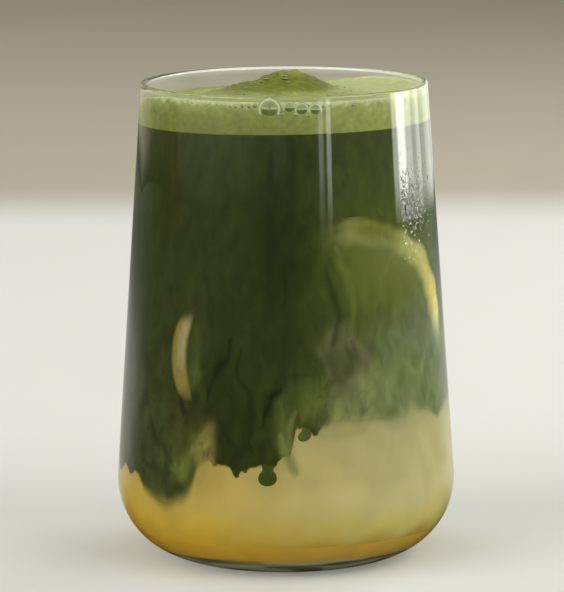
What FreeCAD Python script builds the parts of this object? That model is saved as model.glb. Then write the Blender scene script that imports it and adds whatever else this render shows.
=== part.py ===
"""Matcha lemonade in a stemless tumbler: the glass, and the drink inside it in its layers.

Millimetres, +Z up, origin at the centre of the circle the glass stands on. The front of the drink faces -Y,
and a bearing is counted in degrees from the front towards +X.
The glass is one revolved wall. Every layer of the drink is cut from the same cavity, so that it meets the wall
and its neighbours face to face: foam with the mound that the pour raised, matcha whose underside hangs down in
tongues and drips, cloudy lemonade round those, and the syrup that has settled on the floor of the glass.
"""

import FreeCAD, Part

import math
import os

import Sketcher
from FreeCAD import Vector

SIZES = {
    # the glass
    "glass_height": 118,
    "rim_radius": 35.4,
    "belly_radius": 42,
    "heel_radius": 19,
    "rim_wall": 1.4,
    "belly_wall": 1.8,
    "floor_thickness": 5,
    "foot_ring": 5.3,
    "kick_depth": 0.8,
    # the foam and the mound on it
    "gap_to_rim": 2.2,
    "foam_depth": 8.8,
    "foam_tilt": 3.3,
    "foam_bearing": 39,
    "meniscus_width": 2.4,
    "meniscus_rise": 1.4,
    "mound_height": 4.6,
    "mound_radius": 15,
    "mound_offset": 1,
    "apron_height": 1.9,
    "apron_radius": 21,
    "apron_offset": -7,
    "mound_root": 1,
    # the underside of the matcha
    "front_level": 41,
    "front_tilt": 10,
    "front_bearing": 75,
    "tongue_root": 14,
    "neck_spread": 2.2,
    # the syrup
    "syrup_depth": 4.5,
}

# Each tongue of matcha: its bearing, the height of its tip above the table, its half width, and how far its
# middle stands in from the wall of the glass.
TONGUES = {
    "left_back": (-122, 22, 11, 5),
    "left_wall": (-86, 20, 10, 3),
    "left_front": (-67, 18.5, 10, 4),
    "left_lobe": (-49, 15, 9, 4),
    "centre_left": (-26, 26.5, 5.5, 3),
    "centre": (-14.5, 24.8, 6.5, 3),
    "centre_right": (-0.5, 28.5, 6, 3),
    "hook_root": (9, 35.5, 5, 2.5),
    "right_front": (36, 38.3, 9, 4),
    "right_side": (55, 40.5, 7, 3),
    "right_wall": (76, 34, 8, 3),
    "back_right": (118, 30, 12, 5),
    "back": (160, 24, 10, 4),
    "back_left": (-158, 31, 11, 6),
}

# Each drip: its bearing, the height of its bead's underside, and the radii of the bead and of the neck above it.
DRIPS = {
    "bead": (-6.5, 23.4, 2.4, 1.1),
    "hook": (6.5, 32.6, 1.5, 0.9),
    "spur": (-20.5, 24, 1.3, 0.8),
    "thread": (3.8, 25, 1.6, 1.2),
    "side_bead": (104, 25.5, 1.7, 0.9),
    "back_bead": (148, 19.5, 2, 1),
}

ORIGIN, AXIS = -1, -2  # how a sketch's constraints name its origin and level axis, and its upright axis
START, END, CENTRE = 1, 2, 3  # how they name the points of a line or an arc

doc = FreeCAD.newDocument("MatchaLemonade")
sheet = doc.addObject("Spreadsheet::Sheet", "Sizes")


def fill_sheet():
    """One row for each size: its name in column A, and its plain number in column B under that alias."""
    table = dict(SIZES)
    for name, (bearing, tip, half_width, standoff) in TONGUES.items():
        table[f"{name}_bearing"] = bearing
        table[f"{name}_tip"] = tip
        table[f"{name}_half_width"] = half_width
        table[f"{name}_standoff"] = standoff
    for name, (bearing, tip, bead, neck) in DRIPS.items():
        table[f"{name}_bearing"] = bearing
        table[f"{name}_tip"] = tip
        table[f"{name}_radius"] = bead
        table[f"{name}_neck"] = neck
    for row, (name, number) in enumerate(table.items(), start=1):
        sheet.set(f"A{row}", name)
        sheet.set(f"B{row}", str(number))
        sheet.setAlias(f"B{row}", name)
    doc.recompute()


def cell(name):
    """How an expression names a size."""
    return f"Sizes.{name}"


def bind(thing, **expressions):
    """Ties an object's sizes to expressions in the sheet's cells, read as millimetres."""
    for size, expression in expressions.items():
        thing.setExpression(size, f"({expression}) * 1mm")


def place(thing, x="0", y="0", z="0", tilt="0", bearing="0"):
    """Stands an object at x, y, z and leans it, so that what was level rises towards the bearing by the tilt."""
    turn = f"rotation(vector(cos({bearing} * 1deg); sin({bearing} * 1deg); 0); -({tilt}))"
    thing.setExpression("Placement", f"placement(vector({x}; {y}; {z}); {turn})")


# ---- sketches ----


def new_sketch(body, name):
    """A sketch that stands upright on the body's own XZ plane, so that its vertical axis is the body's Z."""
    plane = next(f for f in body.Origin.OriginFeatures if f.Role == "XZ_Plane")
    sketch = body.newObject("Sketcher::SketchObject", name)
    sketch.AttachmentSupport = [(plane, "")]
    sketch.MapMode = "FlatFace"
    return sketch


def fix(sketch, kind, *where, to):
    """A size of the sketch, tied to an expression and set to what it comes to now."""
    number = sketch.addConstraint(Sketcher.Constraint(kind, *where, value(to)))
    sketch.setExpression(f"Constraints[{number}]", f"({to}) * 1mm")


def value(expression):
    """What an expression on the sheet's cells comes to now, for a sketch's first guess."""
    return float(sheet.evalExpression(expression))


def line(sketch, start, end):
    return sketch.addGeometry(Part.LineSegment(Vector(*start, 0), Vector(*end, 0)), False)


def arc(sketch, centre, radius, first, last):
    """An arc from the first angle to the last, in degrees, anticlockwise."""
    circle = Part.Circle(Vector(*centre, 0), Vector(0, 0, 1), radius)
    return sketch.addGeometry(Part.ArcOfCircle(circle, math.radians(first), math.radians(last)), False)


def join(sketch, *corners):
    """Each corner is the end of one line or arc and the start of the next."""
    for corner in corners:
        sketch.addConstraint(Sketcher.Constraint("Coincident", *corner))


def draw_tumbler(sketch, floor, belly, rim, heel):
    """Half of a tumbler's outline: a level floor, a round heel, and a straight wall that leans in to the rim."""
    low, wide, narrow, bend, top = (value(e) for e in (floor, belly, rim, heel, cell("glass_height")))
    base = line(sketch, (0, low), (wide - bend, low))
    turn = arc(sketch, (wide - bend, low + bend), bend, -90, 3)
    wall = line(sketch, (wide, low + bend), (narrow, top))
    lid = line(sketch, (narrow, top), (0, top))
    core = line(sketch, (0, top), (0, low))
    join(sketch, (wall, END, lid, START), (lid, END, core, START), (core, END, base, START))
    sketch.addConstraint(Sketcher.Constraint("Tangent", base, END, turn, START))
    sketch.addConstraint(Sketcher.Constraint("Tangent", turn, END, wall, START))
    sketch.addConstraint(Sketcher.Constraint("Vertical", core))
    sketch.addConstraint(Sketcher.Constraint("Horizontal", base))
    sketch.addConstraint(Sketcher.Constraint("Horizontal", lid))
    if low:
        sketch.addConstraint(Sketcher.Constraint("PointOnObject", core, END, AXIS))
        fix(sketch, "DistanceY", ORIGIN, START, core, END, to=floor)
    else:
        join(sketch, (core, END, ORIGIN, START))
    fix(sketch, "DistanceY", core, END, core, START, to=f"{cell('glass_height')} - ({floor})")
    fix(sketch, "DistanceX", lid, END, lid, START, to=rim)
    fix(sketch, "Radius", turn, to=heel)
    fix(sketch, "DistanceX", core, END, turn, CENTRE, to=f"({belly}) - ({heel})")


def revolve(body, sketch, feature="PartDesign::Revolution"):
    """Turns the sketch's outline all the way round its vertical axis, to add to the body or to cut it."""
    turned = body.newObject(feature, f"{sketch.Name}_turned")
    turned.Profile = sketch
    turned.ReferenceAxis = (sketch, ["V_Axis"])
    turned.Angle = 360
    doc.recompute()
    return turned


# ---- the glass, and the cavity that the drink fills ----

CAVITY_RIM = f"{cell('rim_radius')} - {cell('rim_wall')}"
CAVITY_BELLY = f"{cell('belly_radius')} - {cell('belly_wall')}"
CAVITY_HEEL = f"{cell('heel_radius')} - {cell('belly_wall')}"
KICK_RADIUS = f"({cell('belly_radius')} - {cell('heel_radius')} - {cell('foot_ring')})"


def draw_cavity(sketch):
    draw_tumbler(sketch, cell("floor_thickness"), CAVITY_BELLY, CAVITY_RIM, CAVITY_HEEL)


def cavity_radius(height):
    """How far the cavity's wall stands from the axis at a height, on the straight stretch above the heel."""
    fall = f"({CAVITY_BELLY} - ({CAVITY_RIM})) / ({cell('glass_height')} - {cell('heel_radius')})"
    return f"({CAVITY_BELLY} - ({height} - {cell('heel_radius')}) * {fall})"


def make_cavity():
    body = doc.addObject("PartDesign::Body", "Cavity")
    sketch = new_sketch(body, "cavity_outline")
    draw_cavity(sketch)
    revolve(body, sketch)
    return body


def make_glass():
    """The wall is turned solid and bored out. The rim is fully rounded, and the foot has a shallow kick."""
    body = doc.addObject("PartDesign::Body", "Glass")
    outside = new_sketch(body, "outside_outline")
    draw_tumbler(outside, "0", cell("belly_radius"), cell("rim_radius"), cell("heel_radius"))
    revolve(body, outside)
    inside = new_sketch(body, "inside_outline")
    draw_cavity(inside)
    revolve(body, inside, "PartDesign::Groove")
    kick = new_sketch(body, "kick_outline")
    draw_kick(kick)
    bored = revolve(body, kick, "PartDesign::Groove")
    top = value(cell("glass_height"))
    lips = [
        f"Edge{number}"
        for number, edge in enumerate(bored.Shape.Edges, start=1)
        if abs(edge.BoundBox.ZMin - top) < 1e-3
    ]
    rim = body.newObject("PartDesign::Fillet", "rim_round")
    rim.Base = (bored, lips)
    bind(rim, Radius=f"{cell('rim_wall')} * 0.48")
    body.Label = "glass"
    return body


def draw_kick(sketch):
    """Half of a shallow lens under the floor: an arc from its top on the axis down to the ring it stands on."""
    radius, depth = value(KICK_RADIUS), value(cell("kick_depth"))
    bend = (radius**2 + depth**2) / (2 * depth)
    reach = math.degrees(math.asin(radius / bend))
    dome = arc(sketch, (0, depth - bend), bend, 90 - reach, 90)
    base = line(sketch, (0, 0), (radius, 0))
    core = line(sketch, (0, depth), (0, 0))
    join(sketch, (dome, END, core, START), (core, END, base, START), (base, END, dome, START))
    join(sketch, (core, END, ORIGIN, START))
    sketch.addConstraint(Sketcher.Constraint("Vertical", core))
    sketch.addConstraint(Sketcher.Constraint("Horizontal", base))
    sketch.addConstraint(Sketcher.Constraint("PointOnObject", dome, CENTRE, AXIS))
    fix(sketch, "DistanceX", base, START, base, END, to=KICK_RADIUS)
    fix(sketch, "DistanceY", core, END, core, START, to=cell("kick_depth"))


# ---- the foam ----

FOAM_TOP = f"({cell('glass_height')} - {cell('gap_to_rim')})"
FOAM_BASE = f"({FOAM_TOP} - {cell('foam_depth')})"


def make_foam_top():
    """The foam's level top, turned: flat to near the wall, then curling up into it in a small meniscus."""
    body = doc.addObject("PartDesign::Body", "FoamTop")
    sketch = new_sketch(body, "foam_outline")
    outer = f"{cell('rim_radius')} - {cell('rim_wall')} / 2"
    flat = f"{CAVITY_RIM} - {cell('meniscus_width')}"
    top, reach, level, rise = (value(e) for e in (FOAM_TOP, outer, flat, cell("meniscus_rise")))
    bend = ((reach - level) ** 2 + rise**2) / (2 * rise)
    climb = math.degrees(math.asin((reach - level) / bend))
    surface = line(sketch, (0, top), (level, top))
    curl = arc(sketch, (level, top + bend), bend, -90, -90 + climb)
    side = line(sketch, (reach, top + rise), (reach, 0))
    base = line(sketch, (reach, 0), (0, 0))
    core = line(sketch, (0, 0), (0, top))
    join(sketch, (curl, END, side, START), (side, END, base, START), (base, END, core, START))
    join(sketch, (core, END, surface, START), (core, START, ORIGIN, START))
    sketch.addConstraint(Sketcher.Constraint("Tangent", surface, END, curl, START))
    for upright in (core, side):
        sketch.addConstraint(Sketcher.Constraint("Vertical", upright))
    for level_line in (surface, base):
        sketch.addConstraint(Sketcher.Constraint("Horizontal", level_line))
    fix(sketch, "DistanceY", core, START, core, END, to=FOAM_TOP)
    fix(sketch, "DistanceX", surface, START, surface, END, to=flat)
    fix(sketch, "DistanceX", base, END, base, START, to=outer)
    fix(sketch, "DistanceY", curl, START, curl, END, to=cell("meniscus_rise"))
    revolve(body, sketch)
    return body


def make_mound(name):
    """A bell of foam on the surface, turned: a hollow arc at its foot and a round one at its top, of one radius."""
    body = doc.addObject("PartDesign::Body", name.title())
    sketch = new_sketch(body, f"{name}_outline")
    root, radius, height = cell("mound_root"), cell(f"{name}_radius"), cell(f"{name}_height")
    deep, wide, tall = (value(e) for e in (root, radius, height))
    bend = (wide**2 + tall**2) / (4 * tall)
    swing = math.degrees(math.asin(wide / (2 * bend)))
    crown = arc(sketch, (0, tall - bend), bend, 90 - swing, 90)
    foot = arc(sketch, (wide, bend), bend, 270 - swing, 270)
    side = line(sketch, (wide, 0), (wide, -deep))
    base = line(sketch, (wide, -deep), (0, -deep))
    core = line(sketch, (0, -deep), (0, tall))
    join(sketch, (foot, END, side, START), (side, END, base, START))
    join(sketch, (base, END, core, START), (core, END, crown, END))
    sketch.addConstraint(Sketcher.Constraint("Tangent", crown, START, foot, START))
    sketch.addConstraint(Sketcher.Constraint("Equal", crown, foot))
    for upright in (core, side):
        sketch.addConstraint(Sketcher.Constraint("Vertical", upright))
    sketch.addConstraint(Sketcher.Constraint("Horizontal", base))
    sketch.addConstraint(Sketcher.Constraint("PointOnObject", crown, CENTRE, AXIS))
    sketch.addConstraint(Sketcher.Constraint("PointOnObject", core, START, AXIS))
    sketch.addConstraint(Sketcher.Constraint("Vertical", foot, CENTRE, foot, END))
    sketch.addConstraint(Sketcher.Constraint("PointOnObject", foot, END, ORIGIN))
    fix(sketch, "DistanceX", base, END, base, START, to=radius)
    fix(sketch, "DistanceY", side, END, side, START, to=root)
    fix(sketch, "DistanceY", core, START, core, END, to=f"{height} + {root}")
    revolve(body, sketch)
    place(body, x=cell(f"{name}_offset"), z=FOAM_TOP)
    return body


# ---- what cuts the drink into layers ----


def half_space(name, height, tilt, bearing, below):
    """A drum wide enough to hold the drink, with one end on a plane that rises towards the bearing."""
    drum = doc.addObject("Part::Cylinder", name)
    bind(drum, Radius=f"{cell('glass_height')} * 2", Height=f"{cell('glass_height')} * 2")
    place(drum, z=height, tilt=tilt, bearing=bearing)
    if not below:
        return drum
    lean = f"rotation(vector(cos({bearing} * 1deg); sin({bearing} * 1deg); 0); 180 - {tilt})"
    drum.setExpression("Placement", f"placement(vector(0; 0; {height}); {lean})")
    return drum


def front_height(bearing, reach):
    """The height of the matcha's tilted front at a bearing and a distance from the axis."""
    rise = f"tan({cell('front_tilt')} * 1deg) * cos(({bearing} - {cell('front_bearing')}) * 1deg)"
    return f"({cell('front_level')} + {reach} * {rise})"


def at_bearing(bearing, reach):
    """The x and y of a point at a bearing from the front and a distance from the axis."""
    return f"{reach} * sin({bearing} * 1deg)", f"-{reach} * cos({bearing} * 1deg)"


def make_tongue(name):
    """An upright egg of matcha, from its tip up to its root above the front, close inside the wall."""
    bearing, tip, half_width, standoff = (
        cell(f"{name}_{size}") for size in ("bearing", "tip", "half_width", "standoff")
    )
    reach = f"({cavity_radius(tip)} - {standoff})"
    half_height = f"({front_height(bearing, reach)} + {cell('tongue_root')} - {tip}) / 2"
    egg = doc.addObject("Part::Ellipsoid", f"tongue_{name}")
    bind(egg, Radius1=half_height, Radius2=half_width, Radius3=half_width)
    x, y = at_bearing(bearing, reach)
    place(egg, x=x, y=y, z=f"{tip} + {half_height}")
    return egg


def make_drip(name):
    """A round bead against the wall, under a neck that spreads as it rises into the matcha."""
    bearing, tip, radius, neck = (cell(f"{name}_{size}") for size in ("bearing", "tip", "radius", "neck"))
    reach = f"({cavity_radius(tip)} - {radius})"
    x, y = at_bearing(bearing, reach)
    bead = doc.addObject("Part::Sphere", f"{name}_drop")
    bind(bead, Radius=radius)
    place(bead, x=x, y=y, z=f"{tip} + {radius}")
    stalk = doc.addObject("Part::Cone", f"{name}_stalk")
    length = f"{front_height(bearing, reach)} + {cell('tongue_root')} / 2 - {tip} - {radius}"
    bind(stalk, Radius1=neck, Radius2=f"{neck} * {cell('neck_spread')}", Height=length)
    place(stalk, x=x, y=y, z=f"{tip} + {radius}")
    return [bead, stalk]


def combine(kind, name, shapes):
    """A boolean of several shapes, kept in their order."""
    made = doc.addObject(kind, name)
    made.Shapes = shapes
    return made


def cut(name, base, tool):
    made = doc.addObject("Part::Cut", name)
    made.Base, made.Tool = base, tool
    return made


def join_on(base, tool):
    made = doc.addObject("Part::Fuse", f"with_{tool.Name}")
    made.Base, made.Tool = base, tool
    return made


# ---- the parts ----


def make_foam(cavity):
    """The level foam inside the wall, down to where it meets the matcha, with the mound and its apron on top."""
    filled = combine("Part::MultiCommon", "foam_fill", [make_foam_top(), cavity])
    below = half_space("under_foam", FOAM_BASE, cell("foam_tilt"), cell("foam_bearing"), below=True)
    layer = cut("foam_layer", filled, below)
    foam = combine("Part::MultiFuse", "FoamWhole", [layer, make_mound("mound"), make_mound("apron")])
    foam.Label = "foam"
    return foam, below


def make_poured():
    """Where the matcha goes in the cavity: above its tilted front, and in the tongues and drips that hang from it."""
    front = (cell("front_level"), cell("front_tilt"), cell("front_bearing"))
    poured = half_space("over_front", *front, below=False)
    falling = [make_tongue(name) for name in TONGUES]
    for name in DRIPS:
        falling += make_drip(name)
    for piece in falling:
        poured = join_on(poured, piece)
    return poured


def make_settled():
    """Where the syrup goes in the cavity: below its level surface."""
    settled = doc.addObject("Part::Cylinder", "settled")
    bind(settled, Radius=cell("belly_radius"), Height=f"{cell('floor_thickness')} + {cell('syrup_depth')}")
    return settled


def make_layers(cavity, below_foam, poured, settled):
    """The drink under the foam, shared out: matcha where it was poured, syrup where it settled, lemonade between."""
    matcha = combine("Part::MultiCommon", "MatchaWhole", [poured, cavity, below_foam])
    matcha.Label = "matcha"
    syrup = combine("Part::MultiCommon", "SyrupWhole", [cavity, settled])
    syrup.Label = "syrup"
    drink = combine("Part::MultiCommon", "under_foam_drink", [cavity, below_foam])
    lemonade = cut("LemonadeWhole", cut("over_syrup", drink, settled), poured)
    lemonade.Label = "lemonade"
    return matcha, lemonade, syrup


def check(parts):
    """Stops at any object that failed, and at any part that isn't one sound solid."""
    for thing in doc.Objects:
        if {"Invalid", "Error"} & set(thing.State):
            raise RuntimeError(f"{thing.Label} did not build: {thing.State}")
    for part in parts:
        shape = part.Shape
        if shape.isNull() or not shape.isValid() or len(shape.Solids) != 1:
            raise RuntimeError(f"{part.Label} is not one sound solid")
        print(f"{part.Label}: {shape.Volume / 1000:.2f} cm3, {len(shape.Faces)} faces, {shape.BoundBox}")


fill_sheet()
cavity = make_cavity()
glass = make_glass()
foam, below_foam = make_foam(cavity)
matcha, lemonade, syrup = make_layers(cavity, below_foam, make_poured(), make_settled())
doc.recompute()

parts = [glass, foam, matcha, lemonade, syrup]
check(parts)
os.makedirs("parts", exist_ok=True)
for part in parts:
    part.Shape.exportStep(f"parts/{part.Label}.step")
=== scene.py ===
"""The looks of a matcha lemonade in a stemless tumbler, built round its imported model.

Sizes are in millimetres until a mesh is made. A bearing is counted in degrees from the front, which faces -Y,
towards +X. Colours are written as they look, from 0 to 255.
"""

import bpy
import numpy as np
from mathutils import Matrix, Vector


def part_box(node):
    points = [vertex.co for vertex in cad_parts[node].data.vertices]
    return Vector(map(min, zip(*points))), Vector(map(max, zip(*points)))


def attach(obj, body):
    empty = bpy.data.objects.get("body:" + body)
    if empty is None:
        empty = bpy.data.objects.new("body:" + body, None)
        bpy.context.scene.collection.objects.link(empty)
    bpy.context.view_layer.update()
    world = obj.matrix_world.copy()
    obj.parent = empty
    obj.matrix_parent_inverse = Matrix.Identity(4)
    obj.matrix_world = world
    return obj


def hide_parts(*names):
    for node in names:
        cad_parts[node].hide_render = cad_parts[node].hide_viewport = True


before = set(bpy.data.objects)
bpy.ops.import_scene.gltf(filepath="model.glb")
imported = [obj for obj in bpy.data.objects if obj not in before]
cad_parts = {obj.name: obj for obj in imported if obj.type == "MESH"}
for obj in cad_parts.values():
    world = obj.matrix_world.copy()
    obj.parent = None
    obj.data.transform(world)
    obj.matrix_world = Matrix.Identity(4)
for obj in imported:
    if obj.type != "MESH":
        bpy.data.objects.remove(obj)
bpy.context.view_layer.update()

# ---- The tumbler ----
# A stemless glass of thin, clear soda-lime: one turned wall that leans in to a fire-rounded rim and rolls
# under in a round heel to a flat ring. Its floor is nearly three times as thick as the wall.

MM = 0.001
glass_low, glass_high = (np.array(corner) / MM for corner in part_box("glass"))
GLASS_TOP = glass_high[2]
BELLY_RADIUS = (glass_high[0] - glass_low[0]) / 2
RIM_RADIUS = 35.4
HEEL_RADIUS = 19
RIM_WALL = 1.4
BELLY_WALL = 1.8
FLOOR = 5
FOOT_RING = 5.3
KICK_DEPTH = 0.8


def outline(belly, rim, heel, floor, top, arc_steps=28, wall_steps=90):
    """Half of a tumbler's outline, as (radius, height): a quarter circle round the heel, then the tangent
    to the rim."""
    centre = np.array([belly - heel, floor + heel])
    lip = np.array([rim, top])
    reach = np.hypot(*(lip - centre))
    meet = np.arctan2(*(lip - centre)[::-1]) - np.arccos(heel / reach)
    turn = np.linspace(-np.pi / 2, meet, arc_steps)
    arc = centre + heel * np.stack([np.cos(turn), np.sin(turn)], axis=1)
    wall = arc[-1] + (lip - arc[-1]) * np.linspace(0, 1, wall_steps + 1)[1:, None]
    return np.concatenate([arc, wall])


def place(radius, bearing, height):
    """The points at these radii, bearings in degrees and heights: x = r sin b, y = -r cos b."""
    radius, bearing, height = np.broadcast_arrays(radius, np.radians(bearing), height)
    return np.stack([radius * np.sin(bearing), -radius * np.cos(bearing), height], axis=-1)


def mesh_of(name, points, faces):
    """A smooth mesh object from points in millimetres and a list of face arrays, three or four corners
    each."""
    mesh = bpy.data.meshes.new(name)
    mesh.vertices.add(len(points))
    mesh.vertices.foreach_set("co", (points * MM).astype(np.float32).ravel())
    sizes = np.concatenate([np.full(len(f), f.shape[1]) for f in faces])
    mesh.loops.add(int(sizes.sum()))
    mesh.loops.foreach_set("vertex_index", np.concatenate([f.ravel() for f in faces]).astype(np.int32))
    mesh.polygons.add(len(sizes))
    mesh.polygons.foreach_set("loop_start", (np.cumsum(sizes) - sizes).astype(np.int32))
    mesh.polygons.foreach_set("use_smooth", np.ones(len(sizes), dtype=bool))
    mesh.update(calc_edges=True)
    mesh.validate()
    made = bpy.data.objects.new(name, mesh)
    bpy.context.scene.collection.objects.link(made)
    return made


def closed(grid, ends, look, last=0):
    """A grid that closes on itself, with a pole at each end: its points, faces and colours. The last pole
    has the colour of one column of the last row."""
    rows, columns = grid.shape[:2]
    column = np.arange(columns)
    beside = (column + 1) % columns
    row = (np.arange(rows - 1) * columns)[:, None]
    corners = [row + column, row + beside, row + columns + beside, row + columns + column]
    end, pole = (rows - 1) * columns, np.full(columns, rows * columns)
    faces = [
        np.stack(corners, axis=-1).reshape(-1, 4),
        np.stack([pole, beside, column], axis=-1),
        np.stack([end + column, end + beside, pole + 1], axis=-1),
    ]
    points = np.concatenate([grid.reshape(-1, 3), ends])
    return points, faces, np.concatenate([look.reshape(-1, 3), [look[0, 0], look[-1, last]]])


def turn_profile(name, profile, columns):
    """A profile of (radius, height) points, carried round the axis. Its first and last points lie on the
    axis."""
    bearing = np.arange(columns) * 360 / columns
    inner = np.array(profile[1:-1])
    grid = place(inner[:, :1], bearing, inner[:, 1:])
    points, faces, _ = closed(grid, [(0, 0, profile[0][1]), (0, 0, profile[-1][1])], grid)
    return mesh_of(name, points, faces)


def tumbler_profile():
    """The wall's section, from the kick's top out under the floor, up the outside, over the rim and down
    the bore."""
    ring = BELLY_RADIUS - HEEL_RADIUS - FOOT_RING
    reach = np.linspace(0, ring, 12)
    kick = np.stack([reach, KICK_DEPTH * (1 - (reach / ring) ** 2)], axis=1)
    flat = np.stack([np.linspace(ring, BELLY_RADIUS - HEEL_RADIUS, 5)[1:-1], np.zeros(3)], axis=1)
    bead = RIM_WALL / 2
    outside = outline(BELLY_RADIUS, RIM_RADIUS, HEEL_RADIUS, 0, GLASS_TOP - bead)
    turn = np.linspace(0, np.pi, 13)[1:-1]
    rim = np.stack([RIM_RADIUS - bead + bead * np.cos(turn), GLASS_TOP - bead + bead * np.sin(turn)], axis=1)
    bore = outline(
        BELLY_RADIUS - BELLY_WALL, RIM_RADIUS - RIM_WALL, HEEL_RADIUS - BELLY_WALL, FLOOR, GLASS_TOP - bead
    )[::-1]
    floor = np.stack([np.linspace(bore[-1][0], 0, 8)[1:], np.full(7, FLOOR)], axis=1)
    return np.concatenate([kick, flat, outside, rim, bore, floor])


def set_inputs(node, inputs):
    """Sets a node's inputs by name."""
    for key, setting in inputs.items():
        node.inputs[key].default_value = setting


def new_material(name, inputs):
    """A material with its Principled shader's inputs, and a short way to add its nodes and links."""
    material = bpy.data.materials.new(name)
    material.use_nodes = True
    tree = material.node_tree
    shader = tree.nodes["Principled BSDF"]
    set_inputs(shader, inputs)

    def add(kind, inputs=None, **settings):
        node = tree.nodes.new(kind)
        for key, setting in settings.items():
            setattr(node, key, setting)
        set_inputs(node, inputs or {})
        return node

    return material, shader, add, tree.links.new


def dress(piece, material, *nodes, slot=None):
    """Gives a piece its material and its place on the part's one body, and hides the nodes that it stands
    for.
    """
    piece.data.materials.append(material)
    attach(piece, "root")
    if nodes:
        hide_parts(*nodes)


def clear_material(name, colour, index, passed):
    """Something clear and polished. Rays from the lamps pass it, in the last colour, so that what is inside
    is lit."""
    body = {"Base Color": (*colour, 1), "Roughness": 0, "IOR": index, "Transmission Weight": 1}
    material, shader, add, link = new_material(name, body)
    open_way = add("ShaderNodeBsdfTransparent", {"Color": (*passed, 1)})
    mix = add("ShaderNodeMixShader")
    link(add("ShaderNodeLightPath").outputs["Is Shadow Ray"], mix.inputs["Fac"])
    link(shader.outputs["BSDF"], mix.inputs[1])
    link(open_way.outputs["BSDF"], mix.inputs[2])
    link(mix.outputs["Shader"], material.node_tree.nodes["Material Output"].inputs["Surface"])
    return material


GLASS_TINT, GLASS_INDEX, GLASS_PASSED = (0.965, 0.985, 0.97), 1.5, (0.96, 0.98, 0.965)

tumbler = turn_profile("tumbler", tumbler_profile(), 256)
glass = clear_material("clear_glass", GLASS_TINT, GLASS_INDEX, GLASS_PASSED)
dress(tumbler, glass, "glass", slot="clear_glass")

# ---- The foam ----
# A layer of wet froth, whisked into the tea and floated up by the pour. It clings to the wall in a small
# meniscus, and a mound stands where the stream fell in, darker than the rest and pocked with bubbles.

INTO_WALL = 0.35
WATER_INDEX = 1.33
FOAM_LEVEL = GLASS_TOP - 2.2
FOAM_BASE = FOAM_LEVEL - 7.6
FOAM_TILT, FOAM_BEARING = 1.0, 39
FOAM_SINK = 3.2
MENISCUS_WIDTH, MENISCUS_RISE = 2.4, 0.8
MOUND_HEIGHT, MOUND_RADIUS, MOUND_OFFSET = 4.6, 15, 1
APRON_HEIGHT, APRON_RADIUS, APRON_OFFSET = 1.9, 21, -7

skin_outline = outline(
    BELLY_RADIUS - BELLY_WALL + INTO_WALL,
    RIM_RADIUS - RIM_WALL + INTO_WALL,
    HEEL_RADIUS - BELLY_WALL + INTO_WALL,
    FLOOR - INTO_WALL,
    GLASS_TOP,
    arc_steps=60,
)


def skin_radius(height):
    """How far the drink's skin lies from the axis: a little way into the glass, so that no air shows
    between them."""
    return np.interp(height, skin_outline[:, 1], skin_outline[:, 0])


def tilted_level(bearing, radius, level, tilt, towards):
    """The height of a plane that rises by the tilt, in degrees, towards a bearing."""
    return level + radius * np.tan(np.radians(tilt)) * np.cos(np.radians(bearing - towards))


def round_bearings(front_step=0.62, back_step=1.15, front_half=104):
    """Bearings all the way round, closer together over the front."""
    front = np.linspace(-front_half, front_half, round(2 * front_half / front_step) + 1)
    back = np.linspace(front_half, 360 - front_half, round((360 - 2 * front_half) / back_step) + 1)
    return np.concatenate([front, back[1:-1]])


def light_of(colours):
    """Colours as they look, from 0 to 255, as the light they stand for: the screen's curve undone."""
    value = np.array(colours, dtype=float) / 255
    return np.where(value <= 0.04045, value / 12.92, ((value + 0.055) / 1.055) ** 2.4)


def tint(red, green, blue):
    """One colour, as light."""
    return light_of((red, green, blue))


def ripples(points, size, seed, waves=22):
    """Smooth noise of about -1 to 1: the sum of sine waves near one length, in random directions and
    phases."""
    dice = np.random.default_rng(seed)
    way = dice.normal(size=(waves, 3))
    way *= (2 * np.pi / size * dice.uniform(0.65, 1.5, waves) / np.linalg.norm(way, axis=1))[:, None]
    return np.sin(points @ way.T + dice.uniform(0, 2 * np.pi, waves)).sum(axis=-1) * 1.1 / np.sqrt(waves)


def step_up(value, low, high):
    """0 below low and 1 above high, with a smooth rise between: 3t^2 - 2t^3."""
    t = np.clip((value - low) / (high - low), 0, 1)
    return t * t * (3 - 2 * t)


def step_down(value, low, high):
    """1 below low and 0 above high."""
    return step_up(-value, -high, -low)


def blend(under, over, share):
    """Two colours mixed by a share of the second for each point."""
    return under + (over - under) * np.asarray(share)[..., None]


def paint(piece, colours, name="look"):
    """Keeps a colour on each of a piece's points, for its material to read."""
    layer = piece.data.color_attributes.new(name, "FLOAT_COLOR", "POINT")
    colours = colours.reshape(-1, 3)
    layer.data.foreach_set("color", np.c_[colours, np.ones(len(colours))].astype(np.float32).ravel())


def join_meshes(name, made):
    """Several meshes, each its points, faces and colours, as one painted object."""
    start = np.cumsum([0] + [len(points) for points, _, _ in made[:-1]])
    faces = [face + first for first, (_, mine, _) in zip(start, made) for face in mine]
    piece = mesh_of(name, np.concatenate([points for points, _, _ in made]), faces)
    paint(piece, np.clip(np.concatenate([colours for _, _, colours in made]), 0, 1))
    return piece


def bell(distance, radius, height):
    """A bell: two arcs of one radius, hollow at the foot and round at the top, as a smooth step."""
    return height * (1 - step_up(distance, 0, radius))


def foam_drop(x, y):
    """How far the foam has sunk at the back to the left, away from the pour."""
    return FOAM_SINK * step_up(0.75 * y - 0.66 * x, 0, 30)


def foam_bottom(bearing, radius):
    """The height of the foam's base, which is tilted a little."""
    return tilted_level(bearing, radius, FOAM_BASE, FOAM_TILT, FOAM_BEARING)


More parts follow.
